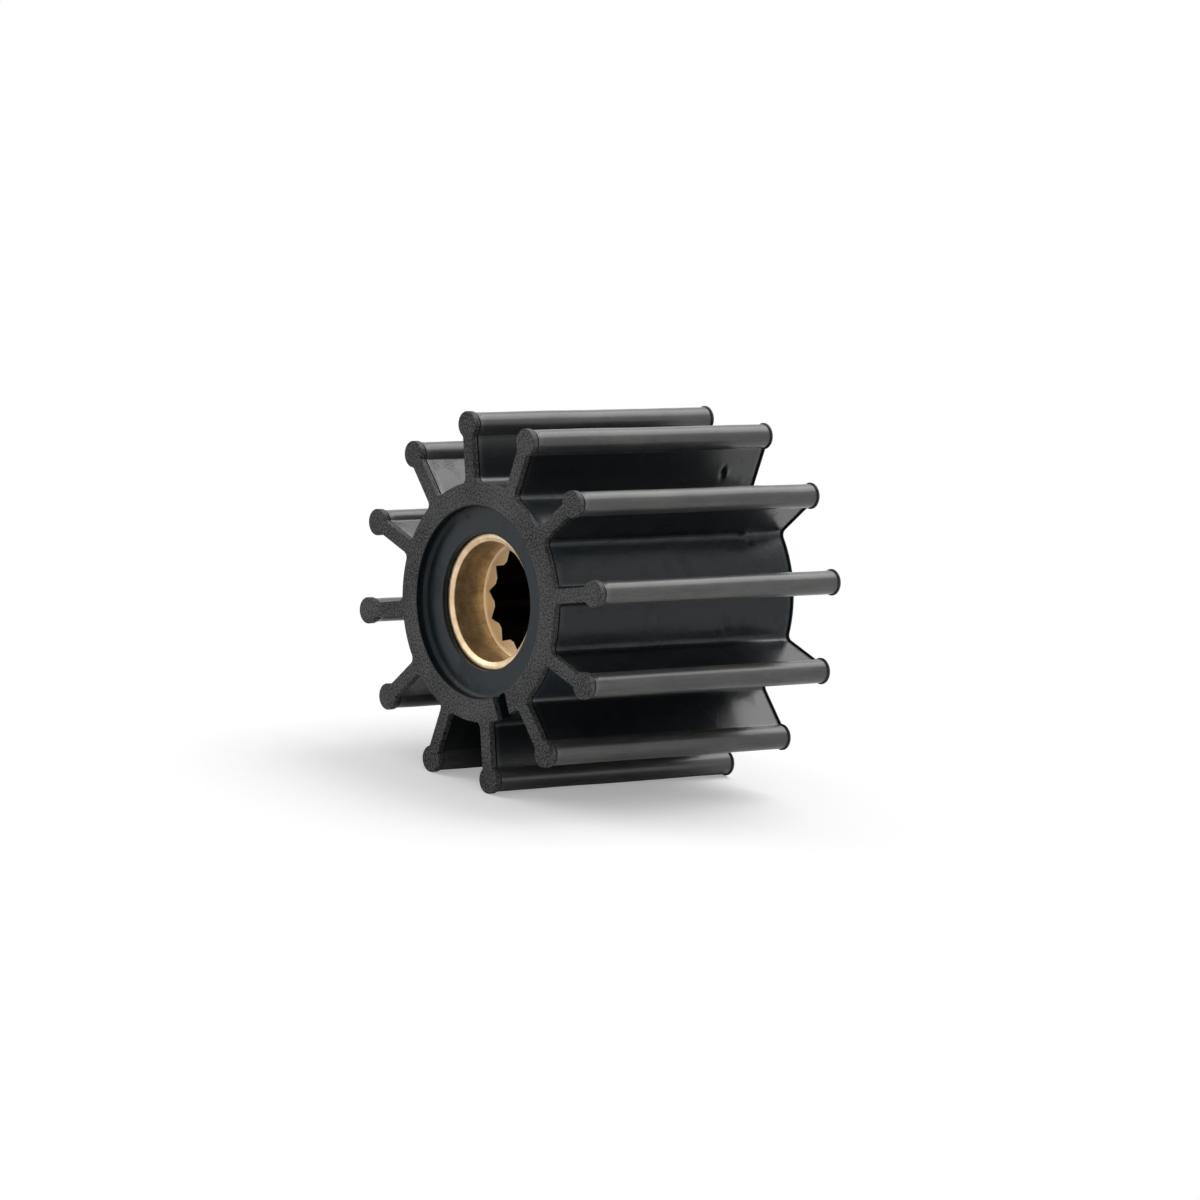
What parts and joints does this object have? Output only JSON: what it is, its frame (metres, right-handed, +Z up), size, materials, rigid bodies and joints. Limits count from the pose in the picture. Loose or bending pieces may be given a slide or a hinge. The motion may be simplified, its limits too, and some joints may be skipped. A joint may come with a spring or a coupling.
{
  "type": "rubber pump impeller",
  "caption": "Flexible rubber pump impeller with straight radial vanes, round vane tips and a bonded splined bronze bush.",
  "frame": {"origin": "centre of the bore, half way along the impeller", "axes": "+Y along the shaft axis, away from the recessed face that shows the bush; +Z up, with the impeller lying on two vane tips"},
  "size_m": [0.063, 0.054, 0.063],
  "materials": {
    "rubber": "moulded black rubber, glossy on the flanks and ground matt on the end face",
    "bronze": "turned bronze, satin"
  },
  "bodies": {
    "root": {"rubber_impeller": "rubber", "splined_bush": "bronze"}
  },
  "joints": []
}
